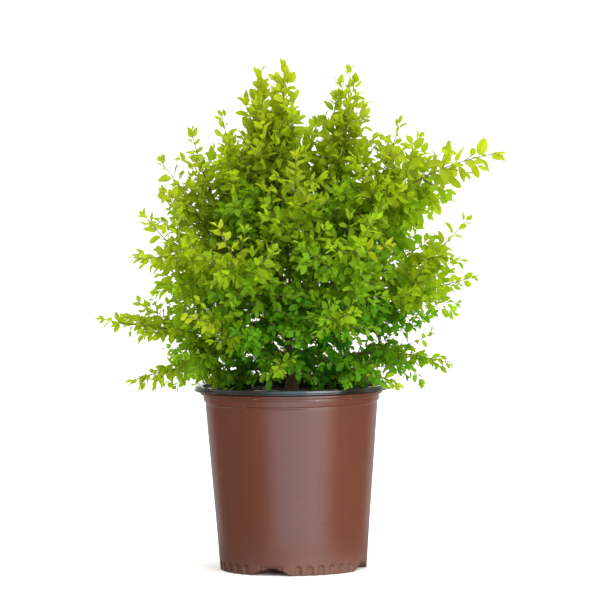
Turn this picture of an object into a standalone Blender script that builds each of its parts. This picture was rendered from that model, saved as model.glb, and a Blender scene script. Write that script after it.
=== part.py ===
"""A potted Chinese privet: nursery pot, potting soil, a short stem, boughs and masses of foliage.

Metres, +Z up. The origin is the centre of the pot's flat underside, and -Y is the front.
Each bough leaves the stem, arches out and ends where its own mass of foliage starts. A mass is a
leader that carries on the bough's line, side twigs in opposite pairs and leaves in opposite pairs.
"""

import math
import random
from collections import namedtuple

import bmesh
import bpy
import numpy as np
from mathutils import Vector

UP = Vector((0, 0, 1))
GAP = 0.0003  # clearance between solids that touch
TURN = math.tau

# Pot, a thin moulded nursery pot
POT_HEIGHT = 0.215
LIP_RADIUS = 0.1125
LIP_HEIGHT = 0.007
LIP_WIDTH = 0.0065
LIP_ROUND = 0.0016
COLLAR_RADIUS = 0.1065
COLLAR_Z = 0.2048
NECK_RADIUS = 0.103
NECK_Z = 0.1985
BAND_RADIUS = 0.1008
BAND_Z = 0.1875
STEP_SLOPE = 0.0005
WALL_TOP_RADIUS = 0.099
WALL_TOP_Z = 0.1835
FOOT_RADIUS = 0.086
FOOT_ROUND = 0.0025
WALL = 0.0022
FLOOR = 0.003
FLOOR_ROUND = 0.002
POT_STEPS = 36

# Foot of the pot: four drain notches, with seven upright flutes between each two
NOTCHES = 4
NOTCH_BEARING = math.radians(-107)
NOTCH_WIDTH_BELOW = 0.036
NOTCH_WIDTH_ABOVE = 0.023
NOTCH_HEIGHT = 0.0065
NOTCH_DEPTH = 0.010
FLUTES_BETWEEN = 7
FLUTE_PITCH = math.radians(9.3)
FLUTE_WIDTH = 0.005
FLUTE_HEIGHT = 0.012
FLUTE_DEPTH = 0.0014
CUT_SPARE = 0.002  # how far a cutter stands out of what it cuts

# Potting soil
SOIL_TOP_Z = 0.2075
SOIL_TOP_RADIUS = 0.020
SOIL_SHOULDER_Z = 0.206
SOIL_SHOULDER_RADIUS = 0.062
SOIL_RIM_Z = 0.201
SOIL_STEPS = POT_STEPS // 2  # so that its corners line up with the pot's

# Stem: a flat cut at the soil, a root flare, a slow taper and a slight lean
STEM_HEIGHT = 0.120
STEM_RADIUS = 0.0058
STEM_TIP_RADIUS = 0.0034
FLARE_RADIUS = 0.0098
FLARE_HEIGHT = 0.012
STEM_LEAN = Vector((-0.006, 0.004, 0))
STEM_SWAY = 0.0025
STEM_WAVES = 0.8
STEM_RINGS = 9
STEM_RING_BIAS = 1.4  # above 1, rings are closer at the flare
STEM_SIDES = 8
LOWEST_LIMB = 0.017  # height of the lowest limb's root above the soil
HIGHEST_ROOT = 0.86  # share of the stem's height below which all limbs but the last leave it

# Boughs
BOUGH_RADIUS = 0.0022
BOUGH_TIP_RADIUS = 0.0018
BOUGH_SIDES = 5
BOUGH_RINGS = 4
BOUGH_SHARE = 0.22  # the share of a limb that is bare bough
LIMB_PULL = 0.38  # how far its end slopes carry into a limb, as a share of its span
LIMB_SAMPLES = 40

# Twigs
TWIG_SIDES = 3
LEADER_RADIUS = 0.0020
LEADER_TIP_RADIUS = 0.0012
LEADER_RINGS = 4
TIP_LEAF = 0.95  # share of a leaf's length by which a leader stops short of its limb's tip
TWIG_RADIUS = 0.0012
TWIG_TIP_RADIUS = 0.0010
TWIG_LENGTH = 0.088
TWIG_LEAST = 0.028
TWIG_STEP = 0.028
TWIG_JITTER = 0.15
TWIG_SHRINK = 0.8  # each shorter try at a twig that leaves its space
TWIG_SAMPLES = 16
TWIG_FREE = 0.2  # share of a twig next to its leader that isn't tested
TWIG_START = 0.06
TWIGGY_SHARE = 0.78  # share of a leader that has side twigs
TWIG_TAPER = 0.75  # how much shorter side twigs are at the leader's tip
TWIG_ANGLE = math.radians(52)

# Leaves, larger and fewer than life
LEAF_LENGTH = 0.042
LEAF_WIDTH = 0.023
LEAF_THICKNESS = 0.0014
LEAF_BULGE = 0.45  # share of its length at which a leaf is widest
LEAF_STEP = 0.030
LEAF_OFFSET = 0.6  # place of a pair within its step
LEAF_ROLL = 0.8
LEAF_JITTER = 0.25
LEAF_TRIES = 4
BLADE_SHARES = (0.25, 0.45, 0.65, 0.85, 1.0)
LEAF_ANGLE = math.radians(48)
LEAF_ROOT = 0.0003  # how far a leaf's root is sunk past its twig's axis
LEAF_CLEAR = 0.0036

# Space that each mass keeps to
MASS_CLEAR = 0.0012
LIMB_CLEAR = 0.0012
RIM_CLEAR = 0.004
SKIRT_Z = 0.204  # no foliage hangs lower than this outside the rim

# Limbs by tier. A limb's bearing is in degrees, 0 to the right and 90 to the back; reach is how
# far out its tip is, and height how high above the ground, in millimetres. A tier's launch and
# finish are the slopes in degrees at which its limbs leave the stem and end, and rise is how
# strongly its twigs turn up.
Limb = namedtuple("Limb", "name bearing reach height launch finish rise")
TIERS = {
    "top": dict(
        launch=62,
        finish=86,
        rise=0.5,
        limbs=dict(
            peak=(240, 9, 598),
            left=(146, 40, 590),
            right=(8, 75, 590),
        ),
    ),
    "upper": dict(
        launch=52,
        finish=76,
        rise=0.4,
        limbs=dict(
            left=(200, 84, 543),
            far_left=(160, 123, 520),
            right=(338, 142, 533),
            far_right=(30, 182, 510),
            front=(275, 100, 500),
            back=(98, 105, 520),
        ),
    ),
    "arching": dict(launch=60, finish=8, rise=0.3, limbs=dict(right=(350, 256, 489))),
    "middle": dict(
        launch=40,
        finish=52,
        rise=0.3,
        limbs=dict(
            far_left=(176, 156, 488),
            left=(204, 190, 430),
            right=(12, 220, 412),
            front_left=(240, 170, 420),
            front_right=(306, 175, 430),
            back_left=(128, 175, 430),
            back_right=(60, 175, 440),
        ),
    ),
    "low": dict(
        launch=30,
        finish=14,
        rise=0.0,
        limbs=dict(
            left=(163, 197, 366),
            far_left=(187, 232, 301),
            right=(348, 229, 346),
            front_left=(230, 195, 312),
            front_right=(294, 195, 318),
            back=(97, 215, 330),
        ),
    ),
    "skirt": dict(
        launch=18,
        finish=-18,
        rise=0.05,
        limbs=dict(
            left=(184, 196, 222),
            right=(2, 195, 236),
            front=(263, 138, 240),
            front_right=(318, 176, 222),
            back=(82, 165, 234),
        ),
    ),
}

COLOURS = {  # base colour, roughness
    "pot": ((0.160, 0.058, 0.036), 0.42),
    "soil": ((0.030, 0.020, 0.014), 0.95),
    "bark": ((0.200, 0.140, 0.085), 0.80),
    "leaves": ((0.240, 0.420, 0.030), 0.50),
}


def clear_scene():
    for thing in list(bpy.data.objects):
        bpy.data.objects.remove(thing, do_unlink=True)


def collection(name):
    made = bpy.data.collections.new(name)
    bpy.context.scene.collection.children.link(made)
    return made


def material(name):
    colour, roughness = COLOURS[name]
    made = bpy.data.materials.new(name)
    made.use_nodes = True
    shader = made.node_tree.nodes["Principled BSDF"]
    shader.inputs["Base Color"].default_value = (*colour, 1)
    shader.inputs["Roughness"].default_value = roughness
    shader.inputs["Metallic"].default_value = 0
    return made


def object_from(bm, name, home):
    mesh = bpy.data.meshes.new(name)
    bm.to_mesh(mesh)
    bm.free()
    made = bpy.data.objects.new(name, mesh)
    home.objects.link(made)
    return made


def modifier(thing, kind, **settings):
    made = thing.modifiers.new(kind.title(), kind)
    for key, value in settings.items():
        setattr(made, key, value)
    return made


def keep_result(thing):
    """Put the evaluated shape in place of the object's mesh and modifiers."""
    depsgraph = bpy.context.evaluated_depsgraph_get()
    result = bpy.data.meshes.new_from_object(thing.evaluated_get(depsgraph))
    thing.modifiers.clear()
    thing.data = result


# Pot and soil


def wall_radius(z):
    """Outer radius of the pot's straight wall at height z."""
    share = (z - FOOT_ROUND) / (WALL_TOP_Z - FOOT_ROUND)
    return FOOT_RADIUS + share * (WALL_TOP_RADIUS - FOOT_RADIUS)


def pot_profile():
    """Radius and height from the inside floor up to the rim, down the outside and in below."""
    rim = POT_HEIGHT
    inside = [
        (0.0, FLOOR),
        (wall_radius(FLOOR) - WALL - FLOOR_ROUND, FLOOR),
        (wall_radius(FLOOR + FLOOR_ROUND) - WALL, FLOOR + FLOOR_ROUND),
        (WALL_TOP_RADIUS - WALL, WALL_TOP_Z),
        (NECK_RADIUS - WALL, COLLAR_Z - STEP_SLOPE),
        (LIP_RADIUS - LIP_WIDTH - LIP_ROUND, rim - LIP_ROUND / 2),
    ]
    outside = [
        (LIP_RADIUS - LIP_WIDTH, rim),
        (LIP_RADIUS - LIP_ROUND, rim - LIP_ROUND / 2),
        (LIP_RADIUS, rim - LIP_HEIGHT / 2),
        (LIP_RADIUS - LIP_ROUND, rim - LIP_HEIGHT),
        (COLLAR_RADIUS, rim - LIP_HEIGHT - STEP_SLOPE),
        (COLLAR_RADIUS - STEP_SLOPE, COLLAR_Z),
        (NECK_RADIUS, COLLAR_Z - STEP_SLOPE),
        (NECK_RADIUS - STEP_SLOPE, NECK_Z),
        (BAND_RADIUS, NECK_Z - 2 * STEP_SLOPE),
        (BAND_RADIUS - STEP_SLOPE, BAND_Z),
        (WALL_TOP_RADIUS, WALL_TOP_Z),
        (wall_radius(1.2 * FLUTE_HEIGHT), 1.2 * FLUTE_HEIGHT),
        (FOOT_RADIUS, FOOT_ROUND),
        (FOOT_RADIUS - FOOT_ROUND, 0.0),
        (0.0, 0.0),
    ]
    return inside + outside


def turned(name, profile, steps, home):
    """A solid of revolution about Z, from radii and heights that start and end on it."""
    bm = bmesh.new()
    rings = [bm.verts.new((radius, 0, z)) for radius, z in profile]
    for upper, lower in zip(rings, rings[1:]):
        bm.edges.new((upper, lower))
    made = object_from(bm, name, home)
    modifier(
        made,
        "SCREW",
        steps=steps,
        render_steps=steps,
        use_merge_vertices=True,
        merge_threshold=0.00001,
    )
    return made


def prism(name, outline, depth, home):
    """A cutter: an outline in its own X and Z, from its own Y = 0 back to Y = depth."""
    bm = bmesh.new()
    face = bm.faces.new([bm.verts.new((x, 0, z)) for x, z in outline])
    back = bmesh.ops.extrude_face_region(bm, geom=[face])["geom"]
    moved = [piece for piece in back if isinstance(piece, bmesh.types.BMVert)]
    bmesh.ops.translate(bm, vec=(0, depth, 0), verts=moved)
    bmesh.ops.recalc_face_normals(bm, faces=bm.faces)
    made = object_from(bm, name, home)
    made.hide_render = True
    made.display_type = "WIRE"
    return made


def face_the_axis(cutter, bearing, radius):
    """Stand a cutter at a bearing and radius, with its own +Y towards the pot's axis."""
    cutter.location = (radius * math.cos(bearing), radius * math.sin(bearing), 0)
    cutter.rotation_euler = (0, 0, bearing + TURN / 4)


def notch_outline():
    """A wide slot with sloping sides, open below."""
    below, above = NOTCH_WIDTH_BELOW / 2, NOTCH_WIDTH_ABOVE / 2
    return [
        (-below, 0),
        (-below, -CUT_SPARE),
        (below, -CUT_SPARE),
        (below, 0),
        (above, NOTCH_HEIGHT),
        (-above, NOTCH_HEIGHT),
    ]


def flute_outline():
    """A round-topped upright slot, open below."""
    half = FLUTE_WIDTH / 2
    arch = [TURN / 2 * k / 2 for k in range(3)]
    shoulder = FLUTE_HEIGHT - half
    top = [(half * math.cos(a), shoulder + half * math.sin(a)) for a in arch]
    return [(-half, -CUT_SPARE), (half, -CUT_SPARE)] + top


def make_pot(parts, cutters):
    pot = turned("pot", pot_profile(), POT_STEPS, parts)
    modifier(pot, "WELD", merge_threshold=0.00001)
    for notch in range(NOTCHES):
        bearing = NOTCH_BEARING + notch * TURN / NOTCHES
        cutter = prism(f"notch_{notch}", notch_outline(), NOTCH_DEPTH + CUT_SPARE, cutters)
        face_the_axis(cutter, bearing, FOOT_RADIUS + CUT_SPARE)
        modifier(pot, "BOOLEAN", object=cutter, operation="DIFFERENCE")
        for flute in range(FLUTES_BETWEEN):
            middle = bearing + TURN / NOTCHES / 2
            turn = middle + (flute - (FLUTES_BETWEEN - 1) / 2) * FLUTE_PITCH
            cutter = prism(f"flute_{notch}_{flute}", flute_outline(), 2 * CUT_SPARE, cutters)
            face_the_axis(cutter, turn, FOOT_RADIUS - FLUTE_DEPTH + 2 * CUT_SPARE)
            modifier(pot, "BOOLEAN", object=cutter, operation="DIFFERENCE")
    return pot


def make_soil(parts):
    """The root ball's potting mix, GAP clear of the pot and flat on top under the stem."""
    inner = WALL + GAP
    profile = [
        (0.0, SOIL_TOP_Z),
        (SOIL_TOP_RADIUS, SOIL_TOP_Z),
        (SOIL_SHOULDER_RADIUS, SOIL_SHOULDER_Z),
        (WALL_TOP_RADIUS - inner, SOIL_RIM_Z),
        (WALL_TOP_RADIUS - inner, WALL_TOP_Z),
        (wall_radius(NOTCH_HEIGHT) - inner, NOTCH_HEIGHT + 2 * GAP),
        (FOOT_RADIUS - NOTCH_DEPTH - CUT_SPARE, FLOOR + GAP),
        (0.0, FLOOR + GAP),
    ]
    return turned("potting_soil", profile, SOIL_STEPS, parts)


# Limbs


def stem_point(share):
    """The stem's axis at a share of its height, leaning and swaying a little."""
    sway = STEM_SWAY * math.sin(TURN * STEM_WAVES * share)
    foot = UP * (SOIL_TOP_Z + GAP)
    return foot + STEM_LEAN * share + Vector((sway, -sway / 2, STEM_HEIGHT * share))


def stem_radius(share):
    flare = math.exp(-share * STEM_HEIGHT / FLARE_HEIGHT)
    taper = STEM_RADIUS + (STEM_TIP_RADIUS - STEM_RADIUS) * share
    return taper + (FLARE_RADIUS - STEM_RADIUS) * flare


def heading(bearing, slope):
    """Unit vector at a compass bearing and a slope above level, both in degrees."""
    turn, rise = math.radians(bearing), math.radians(slope)
    return Vector(
        (math.cos(rise) * math.cos(turn), math.cos(rise) * math.sin(turn), math.sin(rise))
    )


def all_limbs():
    """Every limb, the lowest tip first, so that low limbs leave the stem low down."""
    limbs = []
    for tier, facts in TIERS.items():
        for side, (bearing, reach, height) in facts["limbs"].items():
            name = f"{tier}_{side}"
            slopes = facts["launch"], facts["finish"], facts["rise"]
            limbs.append(Limb(name, bearing, reach / 1000, height / 1000, *slopes))
    return sorted(limbs, key=lambda limb: limb.height)


def root_shares(limbs):
    """Where limbs leave the stem, evenly up it in order, the last carrying on from its tip."""
    low = LOWEST_LIMB / STEM_HEIGHT
    count = len(limbs) - 1
    return [low + (HIGHEST_ROOT - low) * k / (count - 1) for k in range(count)] + [1]


def limb_path(limb, share):
    """Sampled axis of a limb, from the stem's axis to the tip, as one cubic curve."""
    root = stem_point(share)
    tip = heading(limb.bearing, 0) * limb.reach + UP * limb.height
    pull = (tip - root).length * LIMB_PULL
    out = root + heading(limb.bearing, limb.launch) * pull
    back = tip - heading(limb.bearing, limb.finish) * pull
    points = []
    for k in range(LIMB_SAMPLES + 1):
        t = k / LIMB_SAMPLES
        s = 1 - t
        points.append(root * s**3 + out * 3 * s * s * t + back * 3 * s * t * t + tip * t**3)
    return points


def length_of(points):
    return sum((b - a).length for a, b in zip(points, points[1:]))


def point_and_way(points, at):
    """The point at a distance along a path, and the direction there."""
    for a, b in zip(points, points[1:]):
        step = (b - a).length
        if at <= step:
            break
        at -= step
    return a.lerp(b, min(at / step, 1)), (b - a).normalized()


def stretch(points, start, end, count):
    """count + 1 points evenly spaced along a path, from one distance to another."""
    places = [start + (end - start) * k / count for k in range(count + 1)]
    return [point_and_way(points, place)[0] for place in places]


def tube(name, points, radii, sides, home):
    """A closed many-sided tube round a path, flat at both ends."""
    bm = bmesh.new()
    side = points[1] - points[0]
    across = side.orthogonal().normalized()
    rings = []
    for k, (point, radius) in enumerate(zip(points, radii)):
        ahead = points[min(k + 1, len(points) - 1)] - points[max(k - 1, 0)]
        ahead.normalize()
        across = (across - ahead * across.dot(ahead)).normalized()
        other = ahead.cross(across)
        ring = []
        for n in range(sides):
            turn = TURN * n / sides
            spoke = across * math.cos(turn) + other * math.sin(turn)
            ring.append(bm.verts.new(point + spoke * radius))
        rings.append(ring)
    for lower, upper in zip(rings, rings[1:]):
        for n in range(sides):
            m = (n + 1) % sides
            bm.faces.new((lower[n], lower[m], upper[m], upper[n]))
    bm.faces.new(rings[0][::-1])
    bm.faces.new(rings[-1])
    return object_from(bm, name, home)


def taper(first, last, count):
    return [first + (last - first) * k / count for k in range(count + 1)]


def make_stem(name, grown, home):
    """The stem, or with grown above 0 the space round it that limbs keep clear."""
    shares = [(k / STEM_RINGS) ** STEM_RING_BIAS for k in range(STEM_RINGS + 1)]
    points = [stem_point(share) for share in shares]
    points[-1] += UP * grown
    radii = [stem_radius(share) + grown for share in shares]
    made = tube(name, points, radii, STEM_SIDES, home)
    for vert in made.data.vertices[:STEM_SIDES]:
        vert.co.z = points[0].z - grown
    return made


def make_bough(name, path, parts, cutter):
    """A limb's bare stretch, cut to lie GAP clear of the stem."""
    whole = length_of(path)
    points = stretch(path, 0, whole * BOUGH_SHARE, BOUGH_RINGS)
    bough = tube(name, points, taper(BOUGH_RADIUS, BOUGH_TIP_RADIUS, BOUGH_RINGS), BOUGH_SIDES, parts)
    modifier(bough, "BOOLEAN", object=cutter, operation="DIFFERENCE")
    keep_result(bough)
    return bough


# Foliage


def to_array(points):
    return np.array([tuple(point) for point in points])


def distances(points, others):
    return np.linalg.norm(points[:, None] - others[None], axis=2)


class Space:
    """What each mass keeps to: nearer its own leader than any other, and clear of the limbs."""

    def __init__(self, leaders, limbs):
        self.leaders = [to_array(points) for points in leaders]
        self.limbs = np.concatenate([to_array(points) for points, radii in limbs])
        self.radii = np.concatenate([np.array(radii) for points, radii in limbs])

    def holds(self, mass, points, margin):
        """Whether points, grown by margin, keep to a mass's space."""
        points = to_array(points)
        own = distances(points, self.leaders[mass]).min(axis=1)
        for other, line in enumerate(self.leaders):
            if other != mass and (distances(points, line).min(axis=1) < own + 2 * margin).any():
                return False
        if (distances(points, self.limbs) - self.radii < margin + LIMB_CLEAR).any():
            return False
        out = np.hypot(points[:, 0], points[:, 1])
        floor = np.where(out < LIP_RADIUS + RIM_CLEAR, POT_HEIGHT + RIM_CLEAR, SKIRT_Z)
        return bool((points[:, 2] > floor).all())


def fan(ahead, turn, angle):
    """A direction angle away from ahead, at a turn about it from level."""
    first = UP.cross(ahead + Vector((0.01, 0, 0))).normalized()
    first = (first - ahead * first.dot(ahead)).normalized()
    second = ahead.cross(first)
    sideways = first * math.cos(turn) + second * math.sin(turn)
    return (ahead * math.cos(angle) + sideways * math.sin(angle)).normalized()


def leaf_points(root, along, flat):
    """Corners of a leaf: a midrib from root to tip, and the widest points a little under it."""
    side = along.cross(flat).normalized()
    middle = root + along * (LEAF_BULGE * LEAF_LENGTH) - flat * LEAF_THICKNESS
    return {
        "root": root,
        "tip": root + along * LEAF_LENGTH,
        "left": middle + side * LEAF_WIDTH / 2,
        "right": middle - side * LEAF_WIDTH / 2,
    }


def make_leaf(root, along, flat, home):
    """A four-faced blade, folded down a little on both sides of its midrib."""
    points = leaf_points(root, along, flat)
    bm = bmesh.new()
    bmesh.ops.create_cone(bm, cap_ends=True, segments=3, radius1=1, radius2=0, depth=1)
    bmesh.ops.remove_doubles(bm, verts=bm.verts, dist=1e-6)
    for vert, point in zip(bm.verts, points.values()):
        vert.co = point
    bmesh.ops.recalc_face_normals(bm, faces=bm.faces)
    return object_from(bm, "leaf", home)


def blade_samples(root, along, flat):
    """Points over a leaf's blade beyond its root, to test its space with."""
    points = leaf_points(root, along, flat)
    samples = []
    for share in BLADE_SHARES:
        middle = points["root"].lerp(points["tip"], share)
        width = share / LEAF_BULGE if share < LEAF_BULGE else (1 - share) / (1 - LEAF_BULGE)
        samples += [middle.lerp(points[key], width) for key in ("left", "right")]
        samples.append(middle)
    return samples


def leaf_facing(along, rng):
    """The way a leaf's upper face looks: upwards, with some roll."""
    roll = Vector([rng.uniform(-LEAF_ROLL, LEAF_ROLL) for _ in range(3)])
    flat = UP - along * UP.dot(along) + roll
    return (flat - along * flat.dot(along)).normalized()


class Mass:
    """One mass of foliage, grown twig by twig and then leaf by leaf inside its own space."""

    def __init__(self, index, limb, leader, space, home):
        self.index = index
        self.limb = limb
        self.space = space
        self.home = home
        self.rng = random.Random(f"privet {limb.name}")
        self.twigs = [stretch(leader, 0, length_of(leader) - TIP_LEAF * LEAF_LENGTH, LEADER_RINGS)]
        self.blades = []

    def stray(self, most):
        return self.rng.uniform(-most, most)

    def grow_twigs(self):
        """Opposite pairs of twigs up the leader, a quarter turn between pairs."""
        leader = self.twigs[0]
        whole = length_of(leader)
        pairs = round(whole * TWIGGY_SHARE / TWIG_STEP)
        turn = self.rng.uniform(0, TURN)
        for k in range(pairs):
            share = TWIG_START + TWIGGY_SHARE * k / pairs
            length = TWIG_LENGTH * (1 - TWIG_TAPER * share)
            point, ahead = point_and_way(leader, whole * share)
            for way in (0, TURN / 2):
                along = fan(ahead, turn + way, TWIG_ANGLE + self.stray(TWIG_JITTER))
                along = (along + UP * self.limb.rise).normalized()
                self.grow_twig(point, along, length * (1 + self.stray(TWIG_JITTER)))
            turn += TURN / 4 + self.stray(TWIG_JITTER)

    def grow_twig(self, root, along, length):
        """A side twig, as long as its space allows."""
        while length > TWIG_LEAST:
            path = [root, root + along * length]
            tested = stretch(path, TWIG_FREE * length, length, TWIG_SAMPLES)
            if self.space.holds(self.index, tested, TWIG_RADIUS + MASS_CLEAR):
                self.twigs.append(path)
                tube("twig", path, [TWIG_RADIUS, TWIG_TIP_RADIUS], TWIG_SIDES, self.home)
                return
            length *= TWIG_SHRINK

    def grow_leaves(self, path):
        """Opposite pairs of leaves up a twig, with one leaf at its tip."""
        others = [twig for twig in self.twigs if twig is not path]
        others = [to_array(stretch(twig, 0, length_of(twig), TWIG_SAMPLES)) for twig in others]
        ahead = (path[-1] - path[-2]).normalized()
        self.grow_leaf(path[-1] - ahead * 2 * LEAF_ROOT, ahead, others)
        whole = length_of(path)
        pairs = max(1, round(whole / LEAF_STEP))
        turn = self.stray(2 * LEAF_JITTER)
        for k in range(pairs):
            point, ahead = point_and_way(path, whole * (k + LEAF_OFFSET) / pairs)
            for way in (0, TURN / 2):
                for _ in range(LEAF_TRIES):
                    spread = LEAF_ANGLE + self.stray(LEAF_JITTER)
                    along = fan(ahead, turn + way + self.stray(2 * LEAF_JITTER), spread)
                    if self.grow_leaf(point - along * LEAF_ROOT, along, others):
                        break
            turn += TURN / 4

    def grow_leaf(self, root, along, others):
        """A leaf, if it keeps to the space and clear of the mass's other leaves and twigs."""
        flat = leaf_facing(along, self.rng)
        blade = blade_samples(root, along, flat)
        if not self.space.holds(self.index, blade, MASS_CLEAR):
            return False
        blade = to_array(blade)
        for other in self.blades + others:
            if distances(blade, other).min() < LEAF_CLEAR:
                return False
        self.blades.append(blade)
        make_leaf(root, along, flat, self.home)
        return True

    def grow(self):
        self.grow_twigs()
        for path in list(self.twigs):
            self.grow_leaves(path)


def make_mass(name, mass, parts):
    """Fuse a mass's leader, twigs and leaves into one solid."""
    mass.grow()
    radii = taper(LEADER_RADIUS, LEADER_TIP_RADIUS, LEADER_RINGS)
    leader = tube(name, mass.twigs[0], radii, TWIG_SIDES, parts)
    modifier(
        leader,
        "BOOLEAN",
        operand_type="COLLECTION",
        collection=mass.home,
        operation="UNION",
        solver="EXACT",
    )
    keep_result(leader)
    for thing in list(mass.home.objects):
        bpy.data.objects.remove(thing, do_unlink=True)
    return leader


def limb_samples(path):
    """A limb's bare stretch with its radii, and the leader that carries on from it."""
    whole = length_of(path)
    bare = stretch(path, 0, whole * BOUGH_SHARE, LIMB_SAMPLES)
    leader = stretch(path, whole * BOUGH_SHARE + GAP, whole, LIMB_SAMPLES)
    return bare, taper(BOUGH_RADIUS, BOUGH_TIP_RADIUS, LIMB_SAMPLES), leader


def finish(thing, look):
    thing.data.materials.clear()
    thing.data.materials.append(look)


def main():
    clear_scene()
    parts = collection("potted_chinese_privet")
    cutters = collection("cutters")
    looks = {name: material(name) for name in COLOURS}
    finish(make_pot(parts, cutters), looks["pot"])
    finish(make_soil(parts), looks["soil"])
    finish(make_stem("stem", 0, parts), looks["bark"])
    clearance = make_stem("stem_clearance", GAP, cutters)
    clearance.hide_render = True
    clearance.display_type = "WIRE"

    limbs = all_limbs()
    paths = [limb_path(limb, share) for limb, share in zip(limbs, root_shares(limbs))]
    shares = [k / LIMB_SAMPLES for k in range(LIMB_SAMPLES + 1)]
    bare = [([stem_point(share) for share in shares], [stem_radius(share) for share in shares])]
    leaders = []
    for path in paths:
        points, radii, leader = limb_samples(path)
        bare.append((points, radii))
        leaders.append(leader)
    space = Space(leaders, bare)

    for index, (limb, path) in enumerate(zip(limbs, paths)):
        finish(make_bough(f"bough_{limb.name}", path, parts, clearance), looks["bark"])
        home = collection(f"foliage {limb.name}")
        mass = Mass(index, limb, leaders[index], space, home)
        finish(make_mass(f"foliage_{limb.name}", mass, parts), looks["leaves"])
        bpy.data.collections.remove(home)


main()
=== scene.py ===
"""A potted Chinese privet as it looks: moulded pot, potting mix, bark, twigs and leaves.

Metres, +Z up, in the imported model's own frame. The limbs are the ones that the solids have. Each
mass of foliage is grown again on its own leader by the same rule, with more and finer twigs.
"""

import math
import random
from collections import namedtuple

import bmesh
import bpy
import numpy as np
from mathutils import Euler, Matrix, Quaternion, Vector, noise
from mathutils.kdtree import KDTree


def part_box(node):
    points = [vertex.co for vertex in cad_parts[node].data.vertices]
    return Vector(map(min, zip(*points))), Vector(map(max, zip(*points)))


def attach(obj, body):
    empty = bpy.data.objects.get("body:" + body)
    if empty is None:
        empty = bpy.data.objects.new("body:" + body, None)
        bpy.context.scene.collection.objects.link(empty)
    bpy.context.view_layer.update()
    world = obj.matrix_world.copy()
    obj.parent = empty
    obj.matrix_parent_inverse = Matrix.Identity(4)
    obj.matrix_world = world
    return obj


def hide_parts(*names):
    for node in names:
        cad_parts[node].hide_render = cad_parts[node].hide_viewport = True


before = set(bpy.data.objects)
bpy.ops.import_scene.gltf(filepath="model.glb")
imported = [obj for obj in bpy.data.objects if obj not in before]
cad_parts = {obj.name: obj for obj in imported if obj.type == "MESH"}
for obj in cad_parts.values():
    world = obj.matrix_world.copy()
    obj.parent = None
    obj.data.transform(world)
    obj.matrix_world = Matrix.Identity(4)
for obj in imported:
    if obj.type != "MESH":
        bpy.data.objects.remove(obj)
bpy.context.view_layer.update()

UP = Vector((0, 0, 1))
TURN = math.tau
BODY = "root"
NODES = sorted(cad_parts)

# Driving sizes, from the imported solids
LIP_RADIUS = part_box("pot")[1].x
POT_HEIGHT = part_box("pot")[1].z
SOIL_TOP_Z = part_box("potting_soil")[1].z
STEM_FOOT_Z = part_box("stem")[0].z
STEM_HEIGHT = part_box("stem")[1].z - STEM_FOOT_Z

# Pot wall, top to bottom: a black lip with a thin flange round its foot, a ledge, a groove, a
# neck, a groove and the long wall
LIP_RISE = 0.0018  # how far the moulded lip stands above the solid's
LIP_WIDTH = 0.0080
LIP_ROUND = 0.0018
LIP_UNDERCUT = 0.0006  # how much wider the lining is below the lip than inside it
LIP_UNDERCUT_ROUND = 0.003
FLANGE_OVERHANG = 0.0018  # how far the flange stands out past the solid's lip
FLANGE_HIGH_Z = 0.2132
FLANGE_LOW_Z = 0.2111
FLANGE_ROUND = 0.0010
LEDGE_RADIUS = 0.1067
LEDGE_HIGH_Z = 0.2098
LEDGE_LOW_Z = 0.2066
LEDGE_ROUND = 0.0012
NECK_RADII = (0.1034, 0.1026)
NECK_Z = 0.1987
GROOVE_HEIGHT = 0.0027
GROOVE_DEPTH = 0.0005
WALL_TOP_RADIUS = 0.1010
WALL_TOP_Z = NECK_Z - GROOVE_HEIGHT
STEP_SLOPE = 0.0004
STEP_ROUND = 0.0006
RIM_WAVE = 0.0023  # how much higher the soft rim stands in front and behind than at its sides
FOOT_RADIUS = 0.086
FOOT_ROUND = 0.0025
WALL = 0.0024
SKIN = 0.0011  # thickness of the brown outer layer
SKIN_GAP = 0.0001
LINING_FLOOR_Z = 0.0140
LINING_ROUND = 0.001
ARC_STEPS = 4
POT_STEPS = 720
LINING_STEPS = 360
FOOT_ROWS_Z = 0.0145  # the wall has close rows up to here, for the foot's relief
FOOT_ROW_STEP = 0.0007
WALL_ROWS = 10
WALL_ROWS_INSET = (0.006, 0.002)  # how far they keep below the wall's top and above the close rows

# Foot of the pot: four notches under a recess with a drain slit, and upright flutes between them
NOTCHES = 4
NOTCH_BEARING = math.radians(-108.3)
NOTCH_WIDTH_BELOW = 0.0485
NOTCH_WIDTH_ABOVE = 0.0265
NOTCH_HEIGHT = 0.0065
NOTCH_DEPTH = 0.030
RECESS_WIDTH = 0.028
RECESS_HIGH_Z = 0.0115
RECESS_DEPTH = 0.0012
DRAIN_WIDTH = 0.0165
DRAIN_HIGH_Z = 0.0092
DRAIN_DEPTH = 0.012
FLUTES_BETWEEN = 6
FLUTE_PITCH = math.radians(9.25)
FLUTE_WIDTH = 0.0084
FLUTE_HEIGHT = 0.012
FLUTE_DEPTH = 0.0022

# Potting mix
SOIL_SHOULDER_Z = 0.206
SOIL_SHOULDER_RADIUS = 0.062
SOIL_RIM_RADIUS = 0.0968
SOIL_RIM_Z = 0.201
SOIL_DEPTH = 0.030  # how far down it is modelled inside the pot
SOIL_GAP = 0.0003
SOIL_RINGS = 90
SOIL_STEPS = 260
SOIL_RELIEF = 0.0024
SOIL_LUMPS = 70  # lumps in a metre, about
SOIL_CALM = (0.008, 0.028)  # the relief fades in between these distances from the axis
CHIPS = 1500
CHIP_LENGTH = (0.0020, 0.0100)
CHIP_WIDTH = (0.25, 0.6)  # a chip's width and thickness as shares of its length
CHIP_THICKNESS = (0.12, 0.35)
CHIP_TILT = 0.35
CHIP_CLEAR = 0.003  # how far they keep from the wall

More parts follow.
